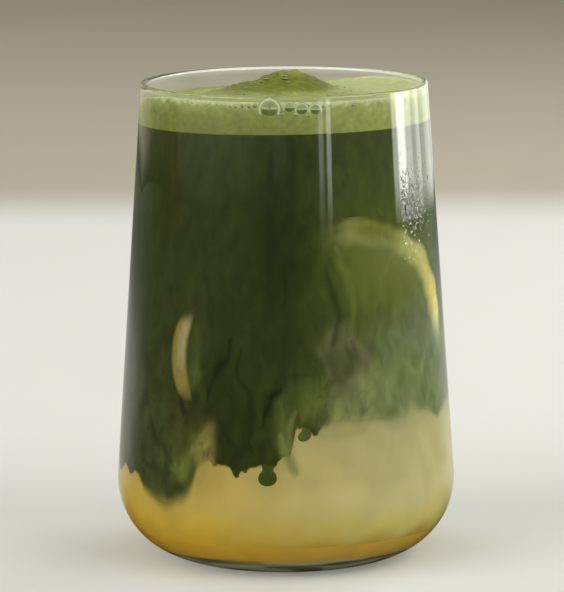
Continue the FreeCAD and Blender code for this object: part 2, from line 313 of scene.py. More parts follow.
def foam_height(x, y, edge):
    """The foam's top: level, curled up at the wall, with the mound and its apron, and lumps on them."""
    radius = np.hypot(x, y)
    curl = MENISCUS_RISE * np.clip((radius - edge + MENISCUS_WIDTH) / MENISCUS_WIDTH, 0, 1) ** 2
    spot = np.stack([x, y, np.zeros_like(x)], axis=-1)
    mound = bell(np.hypot(x - MOUND_OFFSET, y), MOUND_RADIUS, MOUND_HEIGHT)
    apron = bell(np.hypot(x - APRON_OFFSET, y), APRON_RADIUS, APRON_HEIGHT)
    raised = np.maximum(mound, apron) + 0.25 * np.minimum(mound, apron)
    lumps = (0.16 * ripples(spot, 2.6, 3) + 0.25 * ripples(spot, 8, 4)) * step_up(raised, 0.1, 2.5)
    return FOAM_LEVEL + curl - foam_drop(x, y) + np.minimum(raised, MOUND_HEIGHT) + lumps


def foam_look(points):
    """Pale olive froth, yellower at the left of the band and paler at the right, darker and greener on the
    mound. The top is paler towards the back right: painted light from the window there."""
    x, y, z = np.moveaxis(points, -1, 0)
    bearing, height = np.degrees(np.arctan2(x, -y)), z - FOAM_LEVEL
    side = blend(tint(116, 122, 56), tint(146, 154, 84), step_up(x, -20, 38))
    side = blend(side, tint(158, 166, 100), 0.55 * step_up(height, -4, 0.4))
    side = blend(side, tint(200, 206, 162), 0.6 * step_up(height + 0.25 * ripples(points, 2.4, 7), -0.7, 0.3))
    side = blend(side, tint(112, 118, 52), 0.35 * step_up(-height, 6, 8.8))
    # The top is paler towards the back right: painted light from the window there.
    top = blend(tint(140, 150, 84), tint(172, 182, 122), step_up(x + 0.4 * y, 4, 24))
    streaks = ripples(np.stack([bearing * 0.35, np.hypot(x, y) * 0.25, 0 * x], axis=-1), 2.2, 8)
    raised = step_up(height + 0.12 * streaks, 0.1, 1.1)
    top = blend(top, tint(98, 108, 32), 0.92 * raised)
    top = blend(top, tint(140, 150, 70), 0.5 * step_up(height, 3.2, 4.8))
    flat = step_up(skin_radius(z) - np.hypot(x, y), 0.2, 2.2)
    mottled = 1 + 0.05 * ripples(points, 2.1, 5) + 0.05 * ripples(points, 6, 6)
    return blend(side, top, flat) * mottled[..., None]


def foam_mesh():
    """One closed grid: from the middle of the layer's base out to the wall, up it, and in over the top."""
    bearing = round_bearings(0.9, 1.4)
    wall_top = skin_radius(FOAM_LEVEL + MENISCUS_RISE)
    base_edge = skin_radius(FOAM_BASE)
    radii = base_edge * np.array([0.03, 0.4, 0.8, 0.97])[:, None]
    under = place(radii, bearing, foam_bottom(bearing, radii))
    low = foam_bottom(bearing, base_edge)
    climb = np.linspace(0, 1, 24)[:, None]
    rim = place(wall_top, bearing, 0.0)
    rise = low + (FOAM_LEVEL + MENISCUS_RISE - foam_drop(rim[:, 0], rim[:, 1]) - low) * climb
    side = place(skin_radius(rise), bearing, rise)
    radius = wall_top * (1 - np.linspace(0, 1, 96)[1:-1, None] ** 0.9)
    flat = place(radius, bearing, 0.0)
    top = place(radius, bearing, foam_height(flat[..., 0], flat[..., 1], wall_top))
    grid = np.concatenate([under, side, top])
    peak = foam_height(np.zeros(1), np.zeros(1), wall_top)[0]
    points, faces, _ = closed(grid, [(0, 0, FOAM_BASE), (0, 0, peak)], grid)
    return points, faces, foam_look(points)


def speckle(shader, add, link, where, low, high, noise):
    """Gives a shader its painted colour, times fine noise that runs from low to high."""
    look = add("ShaderNodeAttribute", attribute_name="look")
    fine = add("ShaderNodeTexNoise", noise)
    spread = add("ShaderNodeMapRange", {"From Min": 0.3, "From Max": 0.7, "To Min": low, "To Max": high})
    scaled = add("ShaderNodeVectorMath", operation="SCALE")
    link(where, fine.inputs["Vector"])
    link(fine.outputs["Fac"], spread.inputs["Value"])
    link(look.outputs["Color"], scaled.inputs[0])
    link(spread.outputs["Result"], scaled.inputs["Scale"])
    link(scaled.outputs["Vector"], shader.inputs["Base Color"])


def wet_froth():
    """Froth: its painted colour, speckled with fine bubbles that also dent it, and a wet skin over them."""
    material, shader, add, link = new_material("wet_froth", {"Roughness": 0.32, "IOR": WATER_INDEX})
    where = add("ShaderNodeTexCoord")
    speckle(shader, add, link, where.outputs["Object"], 0.86, 1.12, {"Scale": 700, "Detail": 4})
    cells = add("ShaderNodeTexVoronoi", {"Scale": 1500}, feature="F1")
    bump = add("ShaderNodeBump", {"Strength": 0.35, "Distance": 0.0002})
    link(where.outputs["Object"], cells.inputs["Vector"])
    link(cells.outputs["Distance"], bump.inputs["Height"])
    link(bump.outputs["Normal"], shader.inputs["Normal"])
    return material


foam_cap = join_meshes("foam_cap", [foam_mesh()])
dress(foam_cap, wet_froth(), "foam", slot="green_foam")

# ---- The drink's layers ----
# Matcha, whisked thick and dark, poured on cloudy lemonade over syrup. The tea is held up where it meets
# the lemonade and sinks into it in tongues: sharp ones on the glass, soft ones behind a little lemonade.

FRONT_LEVEL, FRONT_TILT, FRONT_BEARING = 41, 10, 75

# The tea's lower edge on the glass, as (bearing, height, softness), from its seam all the way round.
TEA_EDGE = [
    (-123, 23.5, 1.6), (-108, 30, 1.4), (-90, 23.5, 0.6), (-85, 24, 0.5), (-79, 22.3, 0.3),
    (-73, 24.5, 0.4), (-67, 23, 0.4), (-63.5, 24, 0.7), (-56, 20.5, 2.6), (-46, 18.3, 3.8), (-38, 20, 3.8),
    (-34, 23.5, 4), (-31, 29, 3), (-27, 30, 1), (-25, 29, 0.3), (-23.5, 29.7, 0.3), (-19.5, 29.2, 0.3),
    (-17, 26.5, 0.3), (-15, 28.3, 0.3), (-14, 27.7, 0.4), (-12.5, 29, 0.3), (-8, 29.6, 0.3),
    (-3.5, 29.8, 0.3), (-2.5, 31, 0.3), (0, 32, 0.6), (1.2, 32, 1), (2.6, 35.5, 1.2), (3.8, 39, 0.7),
    (5, 38.6, 0.4), (8, 38.4, 0.4), (10, 36.8, 0.4), (13, 39, 2), (18, 40.2, 5.5), (28, 40.2, 4),
    (32, 40, 3.2), (40, 38.5, 5), (50, 40.3, 4.5), (58, 40, 2.6), (67, 37.5, 2), (71, 38.7, 2.4),
    (91, 40, 3), (112, 30.5, 1.8), (120, 33, 1), (127, 31, 1.2), (139, 42, 2.5), (150, 28, 1),
    (154, 30, 0.6), (163, 24.5, 1.2), (179, 38, 3), (197, 33, 1), (205, 31, 1.6), (224, 38, 3),
    (237, 23.5, 1.6),
]
LIP, LIP_HEIGHT = 0.3, 1.6
SEAM = -123

# The radius at which bearings on the glass are turned into millimetres.
MEAN_RADIUS = 40


def along_edge(bearing, wanted):
    """The edge's height (wanted 1) or softness (wanted 2) at a bearing: a smooth curve through the stops.
    Its slope at a stop is the harmonic mean of those on either side, so it turns back only at a
    stop."""
    at, value = np.array(TEA_EDGE)[:, 0], np.array(TEA_EDGE)[:, wanted]
    run = np.diff(at)
    slope = np.diff(value) / run
    before_it, after_it = slope[:-1], slope[1:]
    going_on = before_it * after_it > 0
    bend = np.where(going_on, 2 * before_it * after_it / np.where(going_on, before_it + after_it, 1), 0)
    bend = np.concatenate([[0], bend, [0]])
    turn = (np.asarray(bearing) - SEAM) % 360 + SEAM
    after = np.clip(np.searchsorted(at, turn, side="right"), 1, len(at) - 1)
    before, span = after - 1, run[after - 1]
    t = (turn - at[before]) / span
    rest = 1 - t
    from_start = rest * rest * ((1 + 2 * t) * value[before] + t * span * bend[before])
    return from_start + t * t * ((3 - 2 * t) * value[after] - rest * span * bend[after])


def tea_edge(bearing):
    """The height of the tea's edge, with scallops on it as fine as the tongues, where the edge is sharp."""
    point = place(MEAN_RADIUS, bearing, 0 * bearing)
    sharp = step_down(along_edge(bearing, 2), 0.5, 1.6)
    scallops = 0.16 * ripples(point, 3.4, 11) + 0.16 * ripples(point, 1.5, 12)
    return along_edge(bearing, 1) + scallops * sharp + 0.25 * ripples(point, 11, 13) * (1 - sharp)


def turn_from(bearing, start):
    """The arc in millimetres on the glass from a start bearing, the short way round."""
    return np.radians((bearing - start + 180) % 360 - 180) * MEAN_RADIUS


def bearings_of(arc):
    """An arc in millimetres on the glass, in degrees."""
    return np.degrees(arc / MEAN_RADIUS)


def blot(bearing, height, at, size, lean=0, soft=0.25):
    """1 inside an ellipse on the glass and 0 outside. At is its (bearing, height), size its half sizes in
    millimetres, lean its turn in degrees, and soft the share of its size over which it fades."""
    across, up = turn_from(bearing, at[0]), height - at[1]
    cos, sin = np.cos(np.radians(lean)), np.sin(np.radians(lean))
    reach = np.hypot((across * cos + up * sin) / size[0], (up * cos - across * sin) / size[1])
    return 1 / (1 + np.exp(np.clip((reach - 1) / soft * 2, -30, 30)))


def thread(bearing, height, route, width):
    """1 on a drawn-out thread and 0 away from it. Its route is a smooth curve through (bearing, height)
    points, and it thins to nothing at both ends."""
    stops = np.array(route, dtype=float)
    stops = np.concatenate([2 * stops[:1] - stops[1:2], stops, 2 * stops[-1:] - stops[-2:-1]])
    t = np.linspace(0, 1, 7)[:-1, None, None]
    a, b, c, d = stops[:-3], stops[1:-2], stops[2:-1], stops[3:]
    curve = b + 0.5 * t * (c - a + t * (2 * a - 5 * b + 4 * c - d + t * (3 * (b - c) + d - a)))
    curve = np.concatenate([curve.transpose(1, 0, 2).reshape(-1, 2), stops[-2:-1]])
    near = np.zeros(np.shape(bearing))
    for number, (start, end) in enumerate(zip(curve[:-1], curve[1:])):
        run = np.array([np.radians(end[0] - start[0]) * MEAN_RADIUS, end[1] - start[1]])
        across, up = turn_from(bearing, start[0]), height - start[1]
        share = np.clip((across * run[0] + up * run[1]) / (run @ run), 0, 1)
        away = np.hypot(across - share * run[0], up - share * run[1])
        taper = np.sin(np.pi * (number + share + 0.6) / (len(curve) + 0.2)) ** 0.6
        near = np.maximum(near, np.exp(-((away / (width * np.maximum(taper, 0.05))) ** 2)))
    return near


# Veils in the tea: bearing and height, half sizes, lean, colour, share and softness. The pale grey-green ones
# from bearing 47 to 71 are thinner tea with a painted reflection of the window in the misted glass over it.
TEA_VEILS = [
    ((36, 79), (20, 17), 0, (80, 89, 30), 0.75, 0.5),
    ((44, 69), (14, 13), 0, (96, 104, 40), 0.65, 0.4),
    ((59, 50), (23, 14), 0, (106, 118, 80), 0.95, 0.35),
    ((71, 63), (14, 20), 0, (112, 122, 90), 0.7, 0.35),
    ((69, 92), (11, 16), 0, (86, 98, 62), 0.5, 0.5),
    ((36, 47), (15, 6), 0, (98, 107, 48), 0.85, 0.4),
    ((26, 44), (9, 6), 20, (128, 128, 76), 0.8, 0.45),
    ((47, 45), (21, 7), 0, (122, 131, 84), 0.85, 0.5),
    ((55, 45), (3, 3), 0, (104, 118, 84), 0.5, 0.6),
    ((21, 56), (6, 8), 8, (122, 119, 84), 0.85, 0.16),
    ((20, 54), (3.5, 5), 8, (76, 82, 46), 0.75, 0.3),
    ((17, 59), (7, 12), 0, (60, 70, 26), 0.5, 0.5),
    ((-35, 40), (6.5, 5), -20, (64, 56, 22), 0.8, 0.4),
    ((-37, 32), (4.5, 5), -15, (82, 92, 32), 0.85, 0.4),
    ((-46, 28), (5.5, 7), -15, (58, 64, 32), 0.6, 0.4),
    ((-47, 20), (6.5, 3), -8, (88, 94, 46), 0.5, 0.5),
    ((-62, 35), (12, 16), 0, (72, 76, 44), 0.7, 0.5),
    ((-59, 61), (16, 24), 0, (60, 64, 32), 0.5, 0.5),
    ((-49, 97), (5, 16), 2, (52, 52, 12), 0.7, 0.4),
    ((0, 84), (7, 17), 0, (30, 40, 8), 0.85, 0.6),
    ((-34, 54), (2.5, 9), 0, (84, 92, 44), 0.6, 0.4),
    ((-29, 32), (3, 5), 12, (138, 126, 66), 0.95, 0.3),
    ((-37, 28), (3.5, 3.5), 0, (92, 102, 38), 0.7, 0.45),
    ((-11, 41), (13, 11), 0, (38, 49, 8), 0.8, 0.35),
    ((0, 39), (4, 8), 14, (82, 90, 34), 0.6, 0.4),
    ((11, 44), (5, 6), 20, (84, 93, 32), 0.7, 0.4),
    ((104, 50), (22, 16), 10, (92, 104, 58), 0.7, 0.45),
    ((150, 44), (18, 12), -10, (78, 88, 34), 0.7, 0.45),
    ((190, 60), (22, 20), 15, (66, 76, 28), 0.6, 0.5),
    ((228, 42), (16, 12), -15, (84, 92, 38), 0.7, 0.45),
]

# Threads in the tea: the route, half width, colour and share.
TEA_THREADS = [
    ([(-20, 58), (-21, 55), (-25, 52), (-27, 48), (-28, 44)], 0.95, (18, 28, 4), 0.9),
    ([(-16, 58), (-17, 52), (-13.5, 48.5), (-12, 43), (-13, 37), (-11, 32)], 0.6, (24, 36, 5), 0.8),
    ([(-1, 48.5), (-2.5, 47), (-5.5, 44.5), (-8.5, 41)], 0.85, (14, 22, 4), 0.9),
    ([(-40, 46.5), (-38.5, 44), (-38, 41)], 0.9, (24, 28, 6), 0.85),
    ([(-1, 78), (0, 74), (0, 71), (-1, 67)], 0.55, (22, 32, 5), 0.7),
    ([(-5.5, 106), (-5, 101), (-5.5, 96)], 0.9, (30, 40, 12), 0.7),
    ([(-6, 94), (-5, 85), (-6, 75), (-5, 67)], 1.3, (26, 37, 6), 0.55),
    ([(19, 80), (23, 76), (25.5, 70), (24.5, 63)], 1.3, (100, 108, 40), 0.75),
    ([(15, 77), (18, 71), (19, 65), (17, 59)], 1.0, (36, 46, 10), 0.7),
    ([(26, 84), (29, 79), (31, 71), (29, 64), (27, 58)], 1.1, (92, 100, 40), 0.55),
    ([(-2, 45), (-1, 40), (-2.5, 36), (-1, 32)], 0.8, (96, 104, 46), 0.7),
    ([(4, 44), (1.5, 40.5), (1, 37), (2, 32)], 0.9, (116, 124, 66), 0.7),
    ([(9, 46), (6.5, 42.5), (6, 39.5)], 0.8, (98, 106, 44), 0.6),
    ([(-8.5, 56), (-6.5, 51), (-9.5, 46), (-8, 40)], 1.0, (58, 68, 22), 0.5),
    ([(-21, 47), (-19, 42), (-21, 37), (-19, 33)], 1.0, (32, 44, 8), 0.6),
    ([(-24.5, 39), (-22, 36), (-18, 35), (-15, 31.5)], 0.7, (26, 38, 8), 0.7),
    ([(-55, 38), (-51, 34), (-47, 33), (-43, 29)], 1.1, (44, 50, 22), 0.7),
    ([(-59, 30), (-53, 26), (-47, 24.5), (-42, 26)], 1.2, (48, 54, 26), 0.6),
    ([(-43, 61), (-44, 55), (-42, 48)], 1.0, (46, 48, 12), 0.6),
    ([(32, 72), (36, 66), (34, 59), (37, 52)], 1.2, (74, 84, 34), 0.5),
]


def tea_look(bearing, height):
    """Dark green, thinning to olive low down and to grey-green on the right, where a painted reflection of
    the window in the misted glass lies over it. Veils and threads lie on coordinates that noise has warped,
    and finer smoke is drawn out down the glass."""
    point = place(MEAN_RADIUS, bearing, height)
    drawn = point * (1, 1, 0.42)
    sway = 1.1 * ripples(point, 13, 21) + 0.5 * ripples(point, 5.5, 22)
    heave = 1.2 * ripples(point, 15, 23) + 0.5 * ripples(point, 6, 24)
    at, up = bearing + bearings_of(sway), height + heave
    colour = blend(tint(44, 54, 14), tint(49, 59, 22), step_up(height, 60, 104))
    # Paler towards bearing 62: thinner tea with a painted reflection of the window in the misted glass over
    # it.
    colour = blend(colour, tint(62, 70, 24), 0.8 * step_up(np.cos(np.radians(bearing - 62)), 0.5, 0.95))
    colour = blend(colour, tint(52, 58, 24), 0.7 * step_up(-np.cos(np.radians(bearing - 20)), -0.2, 0.8))
    for spot, size, lean, shade, share, soft in TEA_VEILS:
        colour = blend(colour, tint(*shade), share * blot(at, up, spot, size, lean, soft))
    lit = step_up(bearing, 22, 40) * step_down(bearing, 90, 110)
    low = step_down(height, 36, 62) * (1 - 0.7 * lit)
    smoke = ripples(drawn + 0.9 * ripples(point, 7, 31)[..., None], 4.6, 32)
    wisps = np.abs(ripples(drawn + 1.6 * ripples(point, 9, 33)[..., None], 6.5, 34))
    colour = colour * (1 + (0.10 + 0.10 * low) * smoke)[..., None]
    shown = (0.2 + 0.25 * low) * (1 - 0.8 * lit)
    colour = blend(colour, tint(34, 45, 9), shown * np.exp(-((wisps / 0.09) ** 2)))
    at = bearing + 0.25 * bearings_of(sway)
    for route, width, shade, share in TEA_THREADS:
        colour = blend(colour, tint(*shade), share * thread(at, up, route, width))
    return colour


def lemonade_look(bearing, height):
    """Cloudy yellow, paler to the right and golden to the left, deepening to amber over the syrup and orange
    at the left of the foot. The golden and amber are painted brighter, and all of it is lightened below about
    20 mm: painted light that makes up for the shade under the heel."""
    right = step_up(np.sin(np.radians(bearing)), -0.85, 0.85)
    point = place(MEAN_RADIUS, bearing, height)
    drift = height + 0.8 * ripples(point, 16, 41)
    cloudy = blend(tint(178, 154, 72), tint(181, 173, 124), right)
    high = blend(tint(160, 146, 78), tint(172, 166, 118), right)
    # Golden and amber are painted brighter, as painted light that makes up for the shade under the heel.
    golden = blend(tint(204, 172, 62), tint(192, 180, 104), right)
    amber = blend(tint(218, 174, 54), tint(176, 152, 66), right)
    colour = blend(cloudy, high, step_up(drift, 27, 42))
    colour = blend(colour, golden, step_down(drift, 12.5, 19))
    colour = blend(colour, amber, step_down(drift, 8.5, 12.5))
    # Lighter below about 20 mm: painted light that makes up for the shade under the heel.
    return colour * (1 + 0.2 * step_down(drift, 18, 26) + 0.025 * ripples(point, 9, 42))[..., None]


# Smears of tea in the lemonade: the route, half width, colour and share.
SMEARS = [
    ([(-2.2, 37.5), (-0.6, 34.6), (0.9, 31.6), (2.2, 29.4), (3.4, 27.6)], 1.25, (116, 128, 62), 0.92),
    ([(1.6, 30.6), (2.8, 28.8), (3.8, 27.7)], 1.1, (122, 132, 70), 0.7),
    ([(-31.5, 24), (-29.5, 27.5), (-28.5, 31)], 1.5, (134, 122, 60), 0.4),
    ([(33, 37.5), (42, 38.2), (52, 37.6), (60, 38.4)], 1.5, (160, 158, 116), 0.5),
    ([(12, 36.8), (20, 36.6), (29, 37.4)], 1.5, (150, 146, 92), 0.5),
]


def drink_look(bearing, height):
    """What shows on the glass: lemonade below the tea's edge, tea above it, mixed over the edge's softness,
    and a thin brown band of painted shade just under the edge where it is sharp."""
    gap, soft = height - tea_edge(bearing), along_edge(bearing, 2)
    share = step_up(gap / soft, -0.75, 0.6)
    colour = blend(lemonade_look(bearing, height), tea_look(bearing, height), share)
    for route, width, shade, amount in SMEARS:
        colour = blend(colour, tint(*shade), amount * thread(bearing, height, route, width))
    # Painted shade: a thin brown band just under the tea's edge where it is sharp, as cast by its lip.
    lip_shade = np.exp(-(((gap + 0.1) / 0.3) ** 2)) * step_down(soft, 0.4, 0.9)
    return blend(colour, tint(150, 104, 40), 0.45 * lip_shade)


def sunk(bearing):
    """How much of a lip the tea's edge has: all of it where the edge is sharp, and none where it is soft."""
    return LIP * step_down(along_edge(bearing, 2), 0.6, 1.8)


def front_inside(bearing, radius):
    """Where tea meets lemonade inside the glass, out of sight of the wall."""
    return tilted_level(bearing, radius, FRONT_LEVEL, FRONT_TILT, FRONT_BEARING)


def front_rows(bearing, edge, steps):
    """Rows of points where tea meets lemonade inside the glass. Each step is a share of the wall's radius,
    and how much the front has turned there towards the edge on the wall."""
    wall = skin_radius(edge)
    share, turned = np.array(steps).T[..., None]
    inside = front_inside(bearing, wall * share)
    return place(wall * share, bearing, inside + (edge - front_inside(bearing, wall)) * turned)


def tea_mesh():
    """One closed grid: from the middle of the underside out to the edge on the glass, up it to the foam,
    and in."""
    bearing = round_bearings()
    edge = tea_edge(bearing)
    under = front_rows(bearing, edge, [(0.05, 0), (0.6, 0.1), (0.85, 0.6), (0.95, 0.9), (0.985, 0.98)])
    top = foam_bottom(bearing, skin_radius(FOAM_BASE)) + 0.2
    near = np.array([0, 0.1, 0.3, 0.6, 1.0, 1.5, 2.1])[:, None]
    far = edge + 2.1 + (top - edge - 2.1) * np.linspace(0, 1, 178)[1:, None]
    rows = np.concatenate([edge + near, far])
    swell = np.clip((rows - edge) / LIP_HEIGHT, 0, 1)
    proud = sunk(bearing) * np.sqrt(np.maximum(1 - (1 - swell) ** 2, 0.02)) + 0.03
    side = place(skin_radius(rows) + proud, bearing, rows)
    lid = [place(skin_radius(FOAM_BASE) * 0.94, bearing, top), place(4.0, bearing, FOAM_BASE + 0 * bearing)]
    grid = np.concatenate([under, side, lid])
    height = np.concatenate([np.repeat(edge[None], len(under), 0), rows, np.repeat(top[None], len(lid), 0)])
    look = drink_look(np.broadcast_to(bearing, height.shape), height)
    return closed(grid, [(0, 0, FRONT_LEVEL), (0, 0, FOAM_BASE)], look, last=-1)


# The drips under the tea: bearing, height of the bead's middle, its radius, its neck's length and half
# width, the neck's lean in degrees, and how far the lemonade veils it.
DRIPS = [
    (-6.3, 26.6, 2.3, 3.2, 1.35, 3, 0.0), (6.4, 36.8, 1.6, 3.6, 1.05, 14, 0.1),
    (-16.9, 27.1, 0.6, 1.8, 0.5, -14, 0.0), (-13.9, 28.2, 0.5, 1.6, 0.4, 10, 0.1),
    (-25, 29.5, 0.6, 1.2, 0.5, -20, 0.0), (-78.8, 22.9, 0.7, 2.0, 0.5, 0, 0.0),
    (10.2, 37.4, 0.7, 2.0, 0.6, -14, 0.1), (112, 28.2, 1.5, 3.2, 1.0, 4, 0.1),
    (127, 29.2, 1.0, 2.4, 0.7, -6, 0.0), (150, 25.4, 1.6, 3.4, 1.0, 3, 0.0),
    (163, 23, 1.0, 2.2, 0.7, 0, 0.1), (205, 29.4, 1.1, 2.4, 0.8, -5, 0.0),
    (237, 21.9, 1.2, 2.4, 0.8, 6, 0.1),
]


def drip_mesh(bearing, middle, bead, neck, slim, lean, veil):
    """A drip, flattened against the glass: a round bead, then a neck that is slimmest over the bead and
    spreads into the tea."""
    turn = np.linspace(-np.pi / 2, np.arccos(min(slim / bead, 0.95)), 15)
    stem = np.linspace(0, 1, 12)[1:]
    waist = bead * np.cos(turn[-1])
    half = np.concatenate([bead * np.cos(turn), waist + (0.9 * bead) * stem**2.2])
    rise = np.concatenate([bead * np.sin(turn), bead * np.sin(turn[-1]) + neck * stem])
    rise = np.where(rise < 0, 0.8 * rise, rise)
    swing = np.linspace(0, 2 * np.pi, 25)[:-1]
    height = middle + rise[:, None] + 0 * swing
    across = half[:, None] * np.cos(swing) + np.tan(np.radians(lean)) * (height - middle)
    proud = 0.34 * np.minimum(half, bead)[:, None] * np.sin(swing) / max(bead, 1)
    at = bearing + bearings_of(across)
    grid = place(skin_radius(height) - 0.05 + proud, at, height)
    ends = place(skin_radius(middle), bearing, height[[0, -1], 0])
    core = blend(tea_look(at, height + 4), tint(58, 74, 22), 0.7)
    rim = blend(core, tint(70, 80, 28), 0.5 * np.abs(np.cos(swing))[None] * np.ones_like(height))
    look = blend(rim, lemonade_look(at, height), veil * (1 - 0.4 * step_up(height, middle, middle + neck)))
    return closed(grid, ends, look)


def cloudy_drink(name, grain, depth):
    """A cloudy drink: its painted colour, with fine clouds in it, as dull as what lies against glass is."""
    material, shader, add, link = new_material(name, {"Roughness": 0.5, "Specular IOR Level": 0.1})
    where = add("ShaderNodeTexCoord")
    stretch = add("ShaderNodeMapping", {"Scale": (1, 1, 0.45)})
    link(where.outputs["Object"], stretch.inputs["Vector"])
    clouds = {"Scale": grain, "Detail": 5, "Distortion": 1.2}
    speckle(shader, add, link, stretch.outputs["Vector"], 1 - depth, 1 + depth, clouds)
    return material


matcha_pour = join_meshes("matcha_pour", [tea_mesh()] + [drip_mesh(*drip) for drip in DRIPS])
dress(matcha_pour, cloudy_drink("thick_matcha", 260, 0.14), "matcha", slot="green_tea")

SYRUP_LEVEL = FLOOR + 4.5


def lemonade_mesh():
    """One closed grid: from the middle of the syrup's surface out to the glass, up behind the tea's edge,
    and in."""
    bearing = round_bearings()
    base = skin_radius(SYRUP_LEVEL)
    under = place(base * np.array([[0.05], [0.95]]), bearing, SYRUP_LEVEL)
    edge = tea_edge(bearing) + 1.2
    rise = SYRUP_LEVEL + (edge - SYRUP_LEVEL) * np.linspace(0, 1, 86)[:, None] ** 1.15
    side = place(skin_radius(rise), bearing, rise)
    over = front_rows(bearing, edge, [(0.95, 0.95), (0.85, 0.6), (0.6, 0.1), (0.05, 0)])
    grid = np.concatenate([under, side, over])
    height = np.concatenate([under[..., 2], rise, np.repeat(edge[None], len(over), 0)])
    look = drink_look(np.broadcast_to(bearing, height.shape), height)
    return closed(grid, [(0, 0, SYRUP_LEVEL), (0, 0, FRONT_LEVEL)], look, last=-1)


lemonade_cloud = join_meshes("lemonade_cloud", [lemonade_mesh()])
dress(lemonade_cloud, cloudy_drink("cloudy_lemonade", 120, 0.04), "lemonade", slot="cloudy_lemonade")


def syrup_look(bearing, height):
    """Amber, orange at the left of the foot, and grey with dark streaks underneath: a painted reflection of
    the room in the thick glass floor."""
    right = step_up(np.sin(np.radians(bearing)), -0.9, 0.7)
    colour = blend(tint(240, 192, 62), tint(208, 176, 84), right)
    colour = blend(colour, tint(232, 184, 60), 0.5 * step_up(height, 5, SYRUP_LEVEL))
    # Painted reflection of the room in the thick glass floor, grey with dark streaks, on the syrup's
    # underside.
    streaks = ripples(place(22, bearing, height * 14), 11, 45)
    floor_reflection = blend(tint(186, 194, 172), tint(92, 102, 72), step_up(streaks, -0.5, 0.9))
    return blend(colour, floor_reflection, 0.9 * step_down(height, FLOOR + 0.9, FLOOR + 1.5))


def syrup_mesh():
    """One closed grid: from the middle of the floor out under it, round the heel to the syrup's level, and
    in."""
    bearing = round_bearings(0.9, 1.2)
    rows = skin_outline[skin_outline[:, 1] < SYRUP_LEVEL]
    edge = [(skin_radius(SYRUP_LEVEL), SYRUP_LEVEL)]
    floor = [(rows[0, 0] * share, rows[0, 1]) for share in (0.05, 0.3, 0.6, 0.9)]
    lid = [(edge[0][0] * share, SYRUP_LEVEL) for share in (0.95, 0.05)]
    section = np.concatenate([floor, rows, edge, lid])
    grid = place(section[:, :1], bearing, section[:, 1:])
    look = syrup_look(np.broadcast_to(bearing, grid.shape[:2]), grid[..., 2])
    return closed(grid, [(0, 0, rows[0, 1]), (0, 0, SYRUP_LEVEL)], look, last=-1)


settled_syrup = join_meshes("settled_syrup", [syrup_mesh()])
dress(settled_syrup, cloudy_drink("amber_syrup", 90, 0.05), "syrup", slot="amber_syrup")

# ---- The lemon slices ----
# Two rounds cut across a lemon and sunk in the tea. One lies flat on the glass at the right, the other stands
# on its edge at the left. Their yellow rind, cream pith and flesh show through the tea before them.

SLICE_AT, SLICE_SIZE, SLICE_THICK = (27, 59), (35.5, 29.8), 5.5
STANDING_AT, STANDING_RADIUS, PRESSED_HALF = (-41.2, 55), 28, 12.4

# The rind round the flat slice: turn from its right in degrees, colour, and how much of it shows.
RIND = [
    (-180, 90, 100, 40, 0), (-14, 150, 160, 110, 0), (-4, 205, 210, 150, 0.35), (6, 226, 222, 146, 0.9),
    (15, 222, 206, 120, 1), (28, 198, 186, 108, 1), (45, 184, 180, 112, 1), (58, 168, 168, 98, 1),
    (68, 128, 130, 60, 0.9), (78, 118, 122, 46, 0.85), (88, 122, 124, 52, 0.85), (93, 140, 142, 74, 0.75),
    (100, 120, 124, 56, 0.35), (110, 90, 100, 40, 0), (180, 90, 100, 40, 0),
]


def flat_slice_look(bearing, height):
    """The tea, with the slice through it: flesh in segments inside, then cream pith, then the rind's bright
    band."""
    across, up = turn_from(bearing, SLICE_AT[0]) / SLICE_SIZE[0], (height - SLICE_AT[1]) / SLICE_SIZE[1]
    reach, turn = np.hypot(across, up), np.degrees(np.arctan2(up, across))
    table = np.array(RIND, dtype=float)
    shade = np.stack([np.interp(turn, table[:, 0], table[:, n]) for n in (1, 2, 3)], axis=-1)
    shown = np.interp(turn, table[:, 0], table[:, 4])
    point = place(MEAN_RADIUS, bearing, height)
    mottled = 1 + 0.06 * ripples(point, 3, 51) + 0.05 * ripples(point, 1.3, 52)
    wavy = reach + 0.012 * ripples(point, 7, 53)
    near = 0.07 * step_up(np.abs(turn - 30), 20, 60)
    band = step_up(wavy, 0.73 + near, 0.89 + near) * step_down(wavy, 0.93, 0.995)
    colour = drink_look(bearing, height)
    flesh = blend(tint(100, 108, 44), tint(130, 134, 78), step_up(up, 0.3, 0.8) * step_up(across, 0, 0.6))
    inside = 0.75 * step_down(wavy, 0.8, 0.92) * step_up(reach, 0.15, 0.6) * step_up(turn, 8, 45)
    inside = inside * step_down(turn, 84, 112)
    colour = blend(colour, flesh, inside)
    segment = (turn + 8 + 3 * ripples(point, 9, 54) + 18) % 36 - 18
    skin = np.exp(-((segment * np.pi / 180 * reach * 30 / 0.7) ** 2)) * step_up(reach, 0.1, 0.35)
    colour = blend(colour, tint(122, 128, 68), 0.45 * skin * inside)
    glow = np.exp(-((turn_from(bearing, 26.5) / 2.6) ** 2 + ((height - 86.3) / 2.6) ** 2))
    colour = blend(colour, tint(158, 160, 88), 0.55 * glow)
    pith = step_up(wavy, 0.74, 0.82) * step_down(wavy, 0.84, 0.9)
    cream = blend(colour, tint(176, 172, 118), 0.35 * pith * shown)
    return blend(cream, light_of(shade) * mottled[..., None], band * shown)


